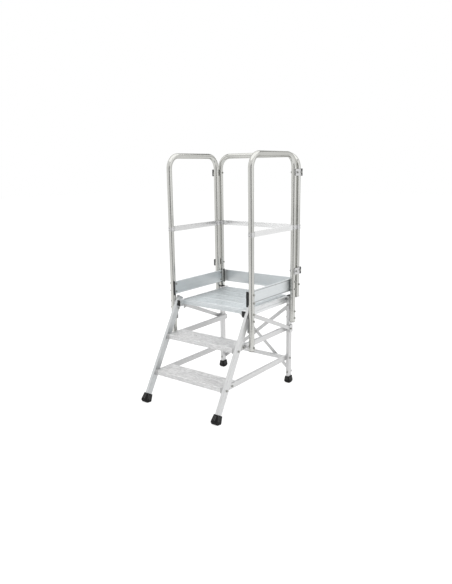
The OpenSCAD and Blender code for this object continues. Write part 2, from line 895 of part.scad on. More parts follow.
// Each seat is an angle on the back of a leg, with a peg that enters the rear hoop's open end
seat_t = 6;
peg_h = 40;
seat_flange_h = 40;
module rear_hoop_seat() {
    difference() {
        union() {
            translate([frame_in, leg_back, rear_hoop_low - seat_t])
                cube([post_x + tube_r - frame_in, rear_hoop_y + tube_r - leg_back, seat_t]);
            translate([frame_in, leg_back, rear_hoop_low - seat_flange_h])
                cube([stile_w, seat_t, seat_flange_h]);
            translate([post_x, rear_hoop_y, rear_hoop_low])
                cylinder(d = tube_d - 2 * (tube_wall + plug_clear), h = peg_h);
        }
        back_bores();
    }
}

module rear_hoop_seats() {
    color(aluminium) both_sides() rear_hoop_seat();
}

// Latches, drawn with the pivot at [0, 0] and the stud a hoop gap away along +u

latch_gap = 4;
latch_in = post_x + tube_r + latch_gap;
latch_out = latch_in + latch_t;
slot_clear = 0.6;
slot_r = (pivot_d + slot_clear) / 2;
hook_wall = 5;
hook_len = hoop_gap + slot_r + hook_wall;
latch_corner = 8;

// The slot follows an arc about the pivot, so that the hook lifts clear of its stud
module latch_slot(r) {
    translate([hoop_gap, 0]) circle(r);
    intersection() {
        difference() {
            circle(hoop_gap + r);
            circle(hoop_gap - r);
        }
        translate([0, -latch_h]) square([hoop_gap + latch_h, latch_h]);
    }
}

module latch_outline() {
    difference() {
        translate([(hook_len - latch_tail) / 2, 0])
            round_rect(hook_len + latch_tail, latch_h, latch_corner);
        circle(d = pivot_d + 2 * pivot_clear);
        latch_slot(slot_r);
    }
}

// Places a latch on its corner: the left ones point forwards, the right ones backwards
module on_corner(side, k) {
    y = side > 0 ? rear_post_y : rear_hoop_y;
    on_side(side) translate([0, y, latch_z[k]]) if (side > 0) children();
    else mirror([0, 1, 0]) children();
}

module latch(side, k) {
    color(aluminium) on_corner(side, k) along_x(latch_in, latch_out) latch_outline();
}

// A grip is a cover over the hook, slotted like the latch and open towards the post
grip_lip = 2;
grip_clear = 0.3;
grip_out = latch_out + grip_skin;
grip_end = hook_len + plug_clear + grip_lip;
grip_h = latch_h + 2 * (plug_clear + grip_lip);
module grip_outline() {
    difference() {
        translate([grip_end - grip_w, -grip_h / 2]) square([grip_w, grip_h]);
        latch_slot(slot_r + grip_clear);
    }
}

module latch_grip(side, k) {
    color(plastic) on_corner(side, k) difference() {
        along_x(latch_in, grip_out) grip_outline();
        along_x(latch_in - plug_clear, latch_out + plug_clear)
            square([2 * (hook_len + plug_clear), latch_h + 2 * plug_clear], center = true);
    }
}

// A pivot is a shouldered bolt through its post, with a bush shaped to the tube under the latch
bush_d = 20;
head_gap = 0.3;
module shoulder(place, tip) {
    translate([0, place[0], place[1]]) rotate([0, 90, 0]) {
        translate([0, 0, tip]) cylinder(d = bolt_d, h = latch_in - tip);
        translate([0, 0, latch_in]) cylinder(d = pivot_d, h = latch_t + head_gap);
        translate([0, 0, latch_out + head_gap]) cylinder(d = washer_d, h = washer_t);
        translate([0, 0, latch_out + head_gap + washer_t]) cylinder(d = hex_d, h = bolt_head_h, $fn = 6);
    }
}

module bush(place) {
    difference() {
        translate([post_x, place[0], place[1]]) rotate([0, 90, 0])
            cylinder(d = bush_d, h = latch_in - head_gap - post_x);
        translate([post_x, place[0], place[1] - bush_d])
            cylinder(r = tube_r + band_clear, h = 2 * bush_d);
        bores([place]);
    }
}

module latch_pivots() {
    seat = post_x - tube_r;
    color(steel) for (k = [0, 1], side = [-1, 1]) {
        place = side > 0 ? latch_places[k] : stud_places[k];
        on_side(side) {
            shoulder(place, seat - bolt_head_h - nut_show);
            translate([seat - bolt_head_h, place[0], place[1]]) rotate([0, 90, 0])
                cylinder(d = hex_d, h = bolt_head_h, $fn = 6);
            bush(place);
        }
    }
}

// A stud has a flat head outside the grip
module stud(place) {
    translate([0, place[0], place[1]]) rotate([0, 90, 0]) {
        translate([0, 0, post_x]) cylinder(d = bolt_d, h = latch_in - post_x);
        translate([0, 0, latch_in]) cylinder(d = pivot_d, h = grip_out + head_gap - latch_in);
        translate([0, 0, grip_out + head_gap]) cylinder(d = washer_d, h = washer_t);
    }
}

module latch_studs() {
    color(steel) for (k = [0, 1], side = [-1, 1]) {
        place = side > 0 ? stud_places[k] : latch_places[k];
        on_side(side) {
            stud(place);
            bush(place);
        }
    }
}

// Fasteners

flush_head_d = 15;
flush_head_h = 4;
module flush_screw_sink() {
    translate([frame_out - flush_head_h, beam_stile_bolt[0], beam_stile_bolt[1]]) rotate([0, 90, 0])
        cylinder(d1 = hole_d, d2 = flush_head_d + bolt_clear, h = flush_head_h);
}

// A flush screw holds the platform's beam to the stile, its head level with the stile's outer face
module flush_screw() {
    seat = frame_in - beam_wall;
    tip = seat - bolt_head_h - nut_show;
    translate([0, beam_stile_bolt[0], beam_stile_bolt[1]]) rotate([0, 90, 0]) {
        translate([0, 0, tip]) cylinder(d = bolt_d, h = frame_out - tip);
        translate([0, 0, frame_out - flush_head_h])
            cylinder(d1 = bolt_d, d2 = flush_head_d, h = flush_head_h);
        translate([0, 0, seat - bolt_head_h]) cylinder(d = hex_d, h = bolt_head_h, $fn = 6);
    }
}

module frame_bolts() {
    bar_seat = frame_in - frame_wall;
    color(steel) {
        both_sides() {
            for (p = stile_bar_bolts) bolt(p, bar_seat, frame_out);
            bolt(leg_bar_bolts[0], bar_seat, frame_out);
            bolt(leg_bar_bolts[1], bar_seat, bracket_out);
            bolt(beam_leg_bolt, frame_in - beam_wall, frame_out);
            flush_screw();
            for (k = [0, 1], p = tread_screws(k)) bolt(p, bar_in - screw_reach, frame_in, nut = false);
        }
        back_bolts();
    }
}

// Bolts from the back: the crossed flats, the rivet at their crossing and the rear hoop's seats
module back_bolt(x, z, seat_y) {
    nut_y = leg_front - bolt_head_h;
    translate([x, 0, z]) rotate([-90, 0, 0]) {
        translate([0, 0, nut_y]) cylinder(d = bolt_d, h = seat_y - nut_y);
        translate([0, 0, nut_y]) cylinder(d = hex_d, h = bolt_head_h, $fn = 6);
        translate([0, 0, seat_y]) cylinder(d = hex_d, h = bolt_head_h, $fn = 6);
    }
}

rivet_head_h = 3;
module back_bolts() {
    inner_seat = leg_back + cross_t;
    outer_seat = leg_back + 2 * cross_t;
    back_bolt(-brace_bolt_x, cross_low_z, inner_seat);
    back_bolt(brace_bolt_x, cross_high_z, inner_seat);
    back_bolt(brace_bolt_x, cross_low_z, outer_seat);
    back_bolt(-brace_bolt_x, cross_high_z, outer_seat);
    for (side = [-1, 1]) back_bolt(side * brace_bolt_x, back_bolt_z[2], leg_back + seat_t);
    translate([0, leg_back, (cross_low_z + cross_high_z) / 2]) rotate([-90, 0, 0]) {
        cylinder(d = bolt_d, h = 2 * cross_t);
        translate([0, 0, -rivet_head_h]) cylinder(d = hex_d, h = rivet_head_h);
        translate([0, 0, 2 * cross_t]) cylinder(d = hex_d, h = rivet_head_h);
    }
}

module guard_bolts() {
    crown = post_x + tube_r;
    color(steel) both_sides() {
        for (p = post_stile_bolts) bolt(p, frame_in, crown);
        bolt(standoff_bolt, frame_in - frame_wall, crown);
        for (p = post_leg_bolts) bolt(p, frame_in, crown);
        for (p = toe_bolts) bolt(p, toe_in + toe_recess, crown);
        bolt([rear_hoop_y, rear_toe_z], rear_toe_half, crown, nut = false);
    }
}

on_side(-1) stile();  // left_stile
on_side(1) stile();  // right_stile
stile_caps();
on_side(-1) front_foot();  // left_front_foot
on_side(1) front_foot();  // right_front_foot
on_side(-1) rear_foot();  // left_rear_foot
on_side(1) rear_foot();  // right_rear_foot
on_side(-1) rear_leg();  // left_rear_leg
on_side(1) rear_leg();  // right_rear_leg
leg_caps();
on_side(-1) side_bar(0);  // left_lower_bar
on_side(-1) side_bar(1);  // left_upper_bar
on_side(1) side_bar(0);  // right_lower_bar
on_side(1) side_bar(1);  // right_upper_bar
bar_plugs();
on_side(-1) side_brace();  // left_brace
on_side(1) side_brace();  // right_brace
leg_brackets();
rear_cross_bar();
rear_brace(0, 1);  // rear_brace_inner
rear_brace(1, -1);  // rear_brace_outer
brace_washers();
tread(0);  // lower_tread
tread(1);  // upper_tread
on_side(-1) deck_beam();  // left_deck_beam
on_side(1) deck_beam();  // right_deck_beam
beam_plugs();
deck_gussets();
deck_plank(0);  // deck_front_plank
deck_plank(1);  // deck_second_plank
deck_plank(2);  // deck_third_plank
deck_plank(3);  // deck_rear_plank
side_hoop(-1);  // left_hoop
side_hoop(1);  // right_hoop
rear_hoop();
post_plugs();
color(deck_grey) on_side_posts(-1) mid_rail(side_span);  // left_mid_rail
color(deck_grey) on_side_posts(1) mid_rail(side_span);  // right_mid_rail
color(deck_grey) on_rear_posts() mid_rail(2 * post_x);  // rear_mid_rail
mid_rail_clamps();
side_toe_board(-1);  // left_toe_board
side_toe_board(1);  // right_toe_board
rear_toe_board();
toe_board_caps();
front_post_saddles();
rear_post_saddles();
post_standoffs();
rear_hoop_seats();
latch(-1, 0);  // left_lower_latch
latch(-1, 1);  // left_upper_latch
latch(1, 0);  // right_lower_latch
latch(1, 1);  // right_upper_latch
latch_grip(-1, 0);  // left_lower_grip
latch_grip(-1, 1);  // left_upper_grip
latch_grip(1, 0);  // right_lower_grip
latch_grip(1, 1);  // right_upper_grip
latch_pivots();
latch_studs();
frame_bolts();
guard_bolts();
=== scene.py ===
"""Looks of a podium step: two treads, a guarded platform, hoop rails and four hook latches."""

import functools
import json
import math

import bmesh
import bpy
from mathutils import Matrix, Vector


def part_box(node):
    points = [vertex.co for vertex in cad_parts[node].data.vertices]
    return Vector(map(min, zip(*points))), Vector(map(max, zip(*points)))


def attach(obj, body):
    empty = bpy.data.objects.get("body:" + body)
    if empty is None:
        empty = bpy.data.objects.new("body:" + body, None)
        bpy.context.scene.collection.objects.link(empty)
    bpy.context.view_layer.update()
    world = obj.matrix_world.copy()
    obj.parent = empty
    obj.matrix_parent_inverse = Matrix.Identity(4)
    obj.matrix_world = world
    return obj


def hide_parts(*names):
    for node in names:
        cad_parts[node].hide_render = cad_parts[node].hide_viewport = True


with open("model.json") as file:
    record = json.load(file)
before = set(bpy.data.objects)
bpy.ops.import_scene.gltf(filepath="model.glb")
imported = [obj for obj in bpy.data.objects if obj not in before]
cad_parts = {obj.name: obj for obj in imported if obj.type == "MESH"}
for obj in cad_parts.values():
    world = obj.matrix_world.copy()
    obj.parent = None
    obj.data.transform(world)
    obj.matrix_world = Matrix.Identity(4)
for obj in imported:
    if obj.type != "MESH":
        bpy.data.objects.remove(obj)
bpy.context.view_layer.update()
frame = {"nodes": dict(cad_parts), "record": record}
nodes = frame["nodes"]
node_body = {node: body for body, held in frame["record"]["behaviour"]["bodies"].items() for node in held}


# Shader sockets in plain expressions

class Tone:
    """A shader socket that can stand in a Python expression."""

    def __init__(self, recipe, socket):
        self.recipe = recipe
        self.socket = socket

    def work_out(self, operation, first, second):
        return self.recipe.node("ShaderNodeMath", {"operation": operation}, {0: first, 1: second})

    def __add__(self, other):
        return self.work_out("ADD", self, other)

    def __radd__(self, other):
        return self.work_out("ADD", other, self)

    def __sub__(self, other):
        return self.work_out("SUBTRACT", self, other)

    def __rsub__(self, other):
        return self.work_out("SUBTRACT", other, self)

    def __mul__(self, other):
        return self.work_out("MULTIPLY", self, other)

    def __rmul__(self, other):
        return self.work_out("MULTIPLY", other, self)

    def __truediv__(self, other):
        return self.work_out("DIVIDE", self, other)

    def __mod__(self, other):
        return self.work_out("FLOORED_MODULO", self, other)

    def most(self, other):
        return self.work_out("MAXIMUM", self, other)

    def least(self, other):
        return self.work_out("MINIMUM", self, other)

    def whole(self):
        return self.work_out("FLOOR", self, 0.0)

    def size(self):
        return self.work_out("ABSOLUTE", self, 0.0)

    def step(self, low, high):
        """0 below low, 1 above high, and smooth between them."""
        return self.recipe.node("ShaderNodeMapRange", {"interpolation_type": "SMOOTHSTEP"},
                                {"Value": self, "From Min": low, "From Max": high})

    def fade(self, low, high):
        """1 below low, 0 above high, and smooth between them."""
        return 1 - self.step(low, high)

    def swing(self, weight):
        """A pattern that runs from 0 to 1, made to swing about 0 by this weight."""
        return weight * (self - 0.5)


class Recipe:
    """The nodes of one finish."""

    def __init__(self, tree):
        self.tree = tree
        tree.nodes.clear()

    def node(self, kind, settings=None, sockets=None, out=0):
        made = self.tree.nodes.new(kind)
        for key, value in (settings or {}).items():
            setattr(made, key, value)
        for key, value in (sockets or {}).items():
            if isinstance(value, Tone):
                self.tree.links.new(value.socket, made.inputs[key])
            else:
                made.inputs[key].default_value = value
        return Tone(self, made.outputs[out]) if made.outputs else made

    def place(self):
        return self.node("ShaderNodeTexCoord", out="Object")

    def parts(self, vector):
        return [self.node("ShaderNodeSeparateXYZ", {}, {0: vector}, out) for out in range(3)]

    def stretch(self, vector, factors):
        return self.node("ShaderNodeVectorMath", {"operation": "MULTIPLY"}, {0: vector, 1: factors})

    def noise(self, vector, scale=1.0, detail=2.0, roughness=0.5):
        return self.node("ShaderNodeTexNoise", {},
                         {"Vector": vector, "Scale": scale, "Detail": detail, "Roughness": roughness})

    def blend(self, factor, first, second):
        return self.node("ShaderNodeMix", {"data_type": "RGBA"}, {0: factor, 6: first, 7: second}, 2)

    def soft_edge(self, radius):
        """A normal rounded over sharp edges, and how far it leans away from the face there."""
        rounded = self.node("ShaderNodeBevel", {"samples": 4}, {"Radius": radius})
        flat = self.node("ShaderNodeNewGeometry", out="Normal")
        same = self.node("ShaderNodeVectorMath", {"operation": "DOT_PRODUCT"}, {0: rounded, 1: flat}, "Value")
        return rounded, (1 - same).step(0.02, 0.25)

    def raise_by(self, height, distance, normal):
        return self.node("ShaderNodeBump", {}, {"Strength": 1.0, "Distance": distance, "Height": height,
                                                "Normal": normal})

    def ray_is(self, *kinds):
        """1 on rays of these kinds, 0 on all others."""
        found = [self.node("ShaderNodeLightPath", out=f"Is {kind} Ray") for kind in kinds]
        return functools.reduce(Tone.most, found)

    def shade(self, colour, roughness, normal, **constants):
        sockets = {"Base Color": colour, "Roughness": roughness, "Normal": normal}
        sockets.update(constants)
        shader = self.node("ShaderNodeBsdfPrincipled", {}, sockets)
        self.node("ShaderNodeOutputMaterial", {}, {"Surface": shader})


def new_finish(name):
    material = bpy.data.materials.new(name)
    material.use_nodes = True
    return material, Recipe(material.node_tree)


def grey(level, warm=0.0):
    """A near-neutral colour; warm above 0 leans to yellow, below 0 to a greenish blue."""
    red, blue = (1.0, 1 - warm) if warm > 0 else (1 + warm, 1 - 0.4 * warm)
    return (level * red, level, level * blue, 1.0)


def dull_and_bright(level, warm):
    """The colours of a bare metal where it is dullest and where it is brightest."""
    return grey(level * 0.86, warm), grey(min(0.97, level * 1.1), warm)


def turned_to_x(direction):
    return tuple(Vector(direction).rotation_difference(Vector((1, 0, 0))).to_euler())


# Finishes; lengths are in metres, and scales count patterns per metre

white = (1.0, 1.0, 1.0, 1.0)
die_lines = (5.0, 900.0, 900.0)
rib_pitch = 0.009
notch_pitch = 0.014


def drawn_aluminium(name, level, along, warm=0.0, roughness=0.36, metal=0.8, depth=0.00012, seams=()):
    """Extruded aluminium: die lines along its length, dull clouds, rubbed edges, and painted shade in its
    outer seams.

    A seam is its height and the distance from the middle plane beyond which it lies.
    """
    material, r = new_finish(name)
    place = r.place()
    run = r.node("ShaderNodeMapping", {}, {"Vector": place, "Rotation": turned_to_x(along)})
    band = r.noise(r.stretch(run, (0.8, 70.0, 70.0)), detail=1.0)
    line = r.noise(r.stretch(run, die_lines))
    cloud = r.noise(place, 11.0, 4.0, 0.6)
    scratch = r.noise(r.stretch(place, (160.0, 23.0, 41.0)), detail=1.0).step(0.70, 0.76)
    rounded, rubbed = r.soft_edge(0.0016)
    light = 0.42 + band.swing(0.5) + line.swing(0.35) + cloud.swing(0.5) + 0.35 * rubbed - 0.25 * scratch
    colour = r.blend(light, *dull_and_bright(level, warm))
    x, _, z = r.parts(place)
    # Painted shade: each seam gets a dark line on the outer faces, standing in for the shadow under the lip.
    for seam_z, inner in seams:
        dust = (z - seam_z).size().fade(0.0012, 0.0045) * x.size().step(inner, inner + 0.001)
        colour = r.blend(dust * (0.5 + 0.4 * cloud), colour, grey(level * 0.3, warm))
    rough = roughness * (1 + cloud.swing(0.45) + line.swing(0.22) - 0.22 * rubbed + 0.22 * scratch)
    height = line * 0.3 + band * 0.5 - scratch * 0.3
    r.shade(colour, rough, r.raise_by(height, depth, rounded), Metallic=metal)
    return material


def ribbed_aluminium(name, level, low, high, first_rib, warm=0.0, scuffs=0.3, worn_back=0.0, end_dust=0.0):
    """Tread metal: notched ribs polished on top, every fourth one worn brighter, with painted shade and some
    dust in the valleys.

    low and high are the corners of the tread or plank, and first_rib is how far back its front rib lies.
    """
    material, r = new_finish(name)
    place = r.place()
    x, y, z = r.parts(place)
    drop, inset = high.z - z, y - low.y
    sunk = drop.least(inset)
    on_rib = sunk.fade(0.0004, 0.0013)
    valley = sunk.step(0.0006, 0.0019) * sunk.fade(0.0022, 0.0026)
    row = ((y - (first_rib - rib_pitch / 2) - (drop - 0.0025).most(0.0)) / rib_pitch).whole()
    worn = 1 - (row % 4.0 - 1).size().least(1.0)
    nose = drop.step(0.003, 0.007)
    # Painted shade: the front of the nose is darkened against the light it catches.
    painted_nose_shade = inset.fade(0.004, 0.025)
    along = (x / notch_pitch + 0.5 * (row % 2.0)) % 1.0
    notch = (along - 0.5).size().fade(0.12, 0.24)
    scuff = r.noise(r.stretch(place, (28.0, 75.0, 150.0))).step(0.32, 0.68)
    line = r.noise(r.stretch(place, die_lines))
    cloud = r.noise(place, 9.0, 4.0, 0.6)
    grit = r.noise(place, 420.0)
    rounded, rubbed = r.soft_edge(0.0008)
    cut = notch * on_rib
    # Painted light: besides its real scuffs, the top is lightened towards the back and darkened at the front.
    rearward = inset / (high.y - low.y)
    scuffs_and_rear_light = scuff.swing(scuffs) + rearward.swing(worn_back)
    # The valleys are darkened by painted shade, mottled by grit.
    light = (0.54 + scuffs_and_rear_light + line.swing(0.3) + cloud.swing(0.3) + on_rib * (0.16 + 0.4 * worn) + 0.1 * rubbed
             - cut * (0.7 - 0.4 * worn) - valley * (0.4 + 0.5 * (grit - 0.4)))
    dull = r.blend(painted_nose_shade, grey(level * 0.76, warm), grey(level * 0.71, warm))
    bright = r.blend(painted_nose_shade, grey(min(0.98, level * 1.06), warm), grey(level * 0.95, warm))
    colour = r.blend(light, dull, bright)
    # Painted shade at the plank ends: a dark line and a broad darkening at the left end, a fainter line at the
    # right, kept off the nose.
    left, right = x - low.x, high.x - x
    ends = 0.4 * left.fade(0.010, 0.024) + 0.26 * left.fade(0.02, 0.12) + 0.2 * right.fade(0.004, 0.04)
    painted_end_shade = ends * (0.8 + 0.4 * cloud) * (1 - nose) * end_dust
    colour = r.blend(painted_end_shade, colour, grey(level * 0.22, warm))
    rough = 0.4 + cloud.swing(0.16) - 0.1 * on_rib + 0.12 * valley + 0.08 * cut
    height = line * 0.1 - cut * 0.9
    r.shade(colour, rough, r.raise_by(height, 0.0006, rounded), Metallic=0.75)
    return material


def polished_tube(name, level, warm):
    """Bent tube: polished, with fine hairlines and scuffs from handling."""
    material, r = new_finish(name)
    place = r.place()
    cloud = r.noise(place, 6.0, 4.0, 0.65)
    hair = r.noise(r.stretch(place, (900.0, 900.0, 700.0)))
    scuff = r.noise(r.stretch(place, (30.0, 30.0, 130.0)), detail=3.0).step(0.68, 0.8)
    rounded, rubbed = r.soft_edge(0.001)
    light = 0.5 + cloud.swing(0.5) + hair.swing(0.2) + 0.3 * rubbed - 0.2 * scuff
    colour = r.blend(light, *dull_and_bright(level, warm))
    rough = 0.16 + cloud.swing(0.06) + hair.swing(0.03) + 0.03 * scuff
    r.shade(colour, rough, r.raise_by(hair * 0.3 - scuff * 0.2, 0.000006, rounded), Metallic=1.0,
            **{"Specular Tint": grey(0.45, warm)})
    return material


def zinc_plate(name):
    """Zinc-plated bolts: a faint spangle, dull clouds and brighter corners."""
    material, r = new_finish(name)
    place = r.place()
    cell = r.node("ShaderNodeTexVoronoi", {}, {"Vector": place, "Scale": 900.0}, "Color")
    spangle = r.parts(cell)[0]
    cloud = r.noise(place, 70.0, 3.0)
    rounded, rubbed = r.soft_edge(0.0006)
    light = 0.45 + spangle.swing(0.35) + cloud.swing(0.5) + 0.4 * rubbed
    colour = r.blend(light, (0.24, 0.24, 0.23, 1.0), (0.56, 0.56, 0.53, 1.0))
    rough = 0.34 + cloud.swing(0.12) + spangle.swing(0.1)
    r.shade(colour, rough, r.raise_by(cloud, 0.00006, rounded), Metallic=0.95)
    return material


def moulded_plastic(name, level, edge_level, roughness=0.46, shine=0.5):
    """Moulded plastic with a fine spark grain and pale scuffs on its edges."""
    material, r = new_finish(name)
    place = r.place()
    grain = r.noise(place, 1600.0)
    cloud = r.noise(place, 26.0, 3.0)
    scuff = r.noise(place, 120.0, 4.0, 0.7)
    rounded, rubbed = r.soft_edge(0.0009)
    worn = rubbed * scuff.step(0.42, 0.62)
    light = 0.35 + cloud.swing(0.7) + grain.swing(0.25) + 0.6 * worn
    colour = r.blend(light, grey(level * 0.75), grey(edge_level))
    rough = roughness + cloud.swing(0.14) + grain.swing(0.1) - 0.06 * worn
    r.shade(colour, rough, r.raise_by(grain, 0.00008, rounded), **{"Specular IOR Level": shine})
    return material


def boot_rubber(name, dark, pale):
    """Black rubber with a dusty bloom, worn paler on its edges and round the sole."""
    material, r = new_finish(name)
    place = r.place()
    _, _, z = r.parts(place)
    grain = r.noise(place, 1100.0, 3.0)
    cloud = r.noise(place, 34.0, 4.0, 0.6)
    rounded, rubbed = r.soft_edge(0.0015)
    dust = z.fade(0.002, 0.018) * cloud.step(0.4, 0.62)
    light = 0.3 + cloud.swing(0.9) + grain.swing(0.3) + 0.6 * rubbed + 0.4 * dust
    colour = r.blend(light, grey(dark), grey(pale))
    rough = 0.66 + cloud.swing(0.2) + grain.swing(0.12) + 0.1 * dust
    r.shade(colour, rough, r.raise_by(grain * 0.6 + cloud * 0.4, 0.00015, rounded),
            **{"Specular IOR Level": 0.2})
    return material


def span_of(node):
    low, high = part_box(node)
    return high - low


def middle_of(node):
    low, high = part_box(node)
    return (low + high) / 2


def ribs_of(node, depth, level, **more):
    """The ribbed finish of a node whose ribs are spread over this depth, between plain edges."""
    low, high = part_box(node)
    plain_edges = 0.012
    count = math.floor((depth - plain_edges) / rib_pitch)
    first_rib = low.y + (depth - (count - 1) * rib_pitch) / 2
    return ribbed_aluminium(node + "_aluminium", level, low, high, first_rib, **more)


def dress(finish, *held):
    """Gives CAD nodes their finish."""
    for node in held:
        slots = nodes[node].data.materials
        slots.clear()
        slots.append(finish)


# Ways that the extrusions run
lean = math.radians(30)
up_stile = (0.0, math.sin(lean), math.cos(lean))
across, back, upright = (1.0, 0.0, 0.0), (0.0, 1.0, 0.0), (0.0, 0.0, 1.0)
brace_size = span_of("left_brace")
down_brace = (0.0, brace_size.y, -brace_size.z)
rear_size = span_of("rear_brace_inner")
rear_rising, rear_falling = (rear_size.x, 0.0, rear_size.z), (rear_size.x, 0.0, -rear_size.z)

# Side frames
# Left and right copies of one aluminium differ in level and tint: painted shade on the left-hand frame,
# painted light on the right-hand one.
dress(drawn_aluminium("left_stile_aluminium", 0.655, up_stile, warm=-0.025), "left_stile")
dress(drawn_aluminium("right_stile_aluminium", 0.725, up_stile, warm=-0.006), "right_stile", "stile_caps")
dress(drawn_aluminium("left_leg_aluminium", 0.67, upright), "left_rear_leg")
dress(drawn_aluminium("right_leg_aluminium", 0.68, upright), "right_rear_leg")
dress(drawn_aluminium("left_bar_aluminium", 0.63, back), "left_lower_bar", "left_upper_bar")
dress(drawn_aluminium("right_bar_aluminium", 0.71, back), "right_lower_bar", "right_upper_bar")
dress(drawn_aluminium("cross_bar_aluminium", 0.70, across), "rear_cross_bar")
dress(drawn_aluminium("side_brace_aluminium", 0.66, down_brace), "left_brace", "right_brace")
dress(drawn_aluminium("rising_brace_aluminium", 0.66, rear_rising), "rear_brace_inner")
dress(drawn_aluminium("falling_brace_aluminium", 0.66, rear_falling), "rear_brace_outer")
dress(drawn_aluminium("bracket_aluminium", 0.70, upright, roughness=0.42),
      "leg_brackets", "deck_gussets", "post_standoffs", "rear_hoop_seats", "rear_post_saddles")
dress(drawn_aluminium("beam_aluminium", 0.84, back, warm=-0.015), "left_deck_beam", "right_deck_beam")

# Treads and platform
tread_depth = 0.175
dress(ribs_of("lower_tread", tread_depth, 0.97, scuffs=1.2, worn_back=0.5), "lower_tread")
dress(ribs_of("upper_tread", tread_depth, 0.98, scuffs=1.2, worn_back=0.5), "upper_tread")
# Lit and shaded copies of one plank finish: the level falls from the front plank to the rear one as painted
# shade, and the third number sets how much painted shade each plank takes at its ends.
for plank, level, dust in (("deck_front_plank", 0.97, 1.0), ("deck_second_plank", 0.92, 1.0),
                           ("deck_third_plank", 0.88, 0.9), ("deck_rear_plank", 0.84, 0.5)):
    dress(ribs_of(plank, span_of(plank).y, level, warm=-0.045, end_dust=dust), plank)

# Guard rails
# The toe boards' outer faces take painted shade lines just inside their lips, at these heights.
toe_low, toe_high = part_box("right_toe_board")
toe_lip = 0.009
toe_seams = [(z, (toe_low.x + toe_high.x) / 2) for z in (toe_low.z + toe_lip, toe_high.z - toe_lip)]
# The three toe boards are lit and shaded copies of one finish: their levels differ as painted light and shade.
dress(drawn_aluminium("left_toe_aluminium", 0.735, back, warm=-0.045, seams=toe_seams), "left_toe_board")
dress(drawn_aluminium("right_toe_aluminium", 0.77, back, warm=-0.04, seams=toe_seams), "right_toe_board")
dress(drawn_aluminium("rear_toe_aluminium", 0.83, across, warm=-0.032), "rear_toe_board")
bright_rail = {"warm": -0.003, "roughness": 0.21, "depth": 0.0003}
# The three mid rails are lit and shaded copies too, their levels set apart as painted light and shade.
dress(drawn_aluminium("left_rail_aluminium", 0.76, back, metal=1.0, **bright_rail), "left_mid_rail")
dress(drawn_aluminium("right_rail_aluminium", 0.90, back, metal=1.0, **bright_rail), "right_mid_rail")
dress(drawn_aluminium("rear_rail_aluminium", 0.97, across, metal=0.6, **bright_rail), "rear_mid_rail")
dress(drawn_aluminium("clamp_aluminium", 0.66, upright, roughness=0.3), "mid_rail_clamps")
dress(drawn_aluminium("latch_aluminium", 0.68, back, roughness=0.42),
      "left_lower_latch", "left_upper_latch", "right_lower_latch", "right_upper_latch")
dress(polished_tube("bright_tube", 0.61, 0.042), "left_hoop", "right_hoop", "rear_hoop")

# Bolts, plastics and rubber
zinc = zinc_plate("zinc_plated_steel")
grip_plastic = moulded_plastic("grip_plastic", 0.04, 0.14, roughness=0.4)
rubber = boot_rubber("boot_rubber", 0.004, 0.024)
# The ribs take a paler copy of the rubber: partly wear, partly a painted highlight on the ribs.
rib_rubber = boot_rubber("boot_rib_rubber", 0.035, 0.16)
dress(zinc, "brace_washers", "latch_pivots", "latch_studs", "frame_bolts", "guard_bolts")
dress(grip_plastic, "left_lower_grip", "left_upper_grip", "right_lower_grip", "right_upper_grip")
dress(rubber, "left_front_foot", "right_front_foot", "left_rear_foot", "right_rear_foot")
dress(moulded_plastic("black_cap_plastic", 0.014, 0.05, shine=0.25),
      "leg_caps", "beam_plugs", "toe_board_caps", "post_plugs")
dress(moulded_plastic("grey_plug_plastic", 0.5, 0.62), "bar_plugs")
dress(moulded_plastic("saddle_plastic", 0.42, 0.56), "front_post_saddles")


# Pieces

def mesh_of(name, shape):
    mesh = bpy.data.meshes.new(name)
    shape.to_mesh(mesh)
    shape.free()
    return mesh


def put(name, data):
    """A new object in the scene."""
    held = bpy.data.objects.new(name, data)
    bpy.context.scene.collection.objects.link(held)
    return held


def new_piece(name, shape, body, finishes, hides=()):
    """A finished piece that rides on a body and stands for the CAD nodes that it hides."""
    bmesh.ops.recalc_face_normals(shape, faces=shape.faces)
    mesh = mesh_of(name, shape)
    mesh.shade_smooth()
    mesh.set_sharp_from_angle(angle=math.radians(35))
    for finish in finishes:
        mesh.materials.append(finish)
    piece = put(name, mesh)
    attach(piece, body)
    if hides:
        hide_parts(*hides)


def rounded_copy(node, radius):
    """The CAD shape as one closed mesh with whole flat faces, its sharp edges rounded over."""
    shape = bmesh.new()
    shape.from_mesh(nodes[node].data)
    bmesh.ops.remove_doubles(shape, verts=shape.verts, dist=0.00001)
    bmesh.ops.dissolve_limit(shape, angle_limit=math.radians(0.5), verts=shape.verts, edges=shape.edges)
    sharp = [edge for edge in shape.edges if edge.calc_face_angle(0.0) > math.radians(30)]
    bmesh.ops.bevel(shape, geom=sharp, offset=radius, affect="EDGES", segments=3, profile=0.5, material=-1,
                    clamp_overlap=True)
    return shape


def add_bar(shape, turn, size, radius, finish=0):
    """A rounded bar, added to a shape in one of its finishes."""
    bar = bmesh.ops.create_cube(shape, size=1.0)["verts"]
    bmesh.ops.transform(shape, matrix=turn @ Matrix.Diagonal((*size, 1.0)), verts=bar)
    for face in {face for vert in bar for face in vert.link_faces}:
        face.material_index = finish
    edges = list({edge for vert in bar for edge in vert.link_edges})
    bmesh.ops.bevel(shape, geom=edges, offset=radius, affect="EDGES", segments=2, profile=0.5, material=-1)


# Boots: the collar hugs the tube, and ribs run down from it to the sole
sole_top, boot_edge = 0.022, 0.0014
rib_thick, side_rib_width, end_rib_width, rib_edge = 0.003, 0.006, 0.0055, 0.0011
rib_share_of_rise = 0.84
front_boot = {"base": (0.028, 0.035), "collar": (0.0185, 0.031), "top": 0.067,
              "side_ribs": 0.017, "end_ribs": 0.012}
rear_boot = {"base": (0.026, 0.033), "collar": (0.0185, 0.0285), "top": 0.053,
             "side_ribs": 0.015, "end_ribs": 0.011}


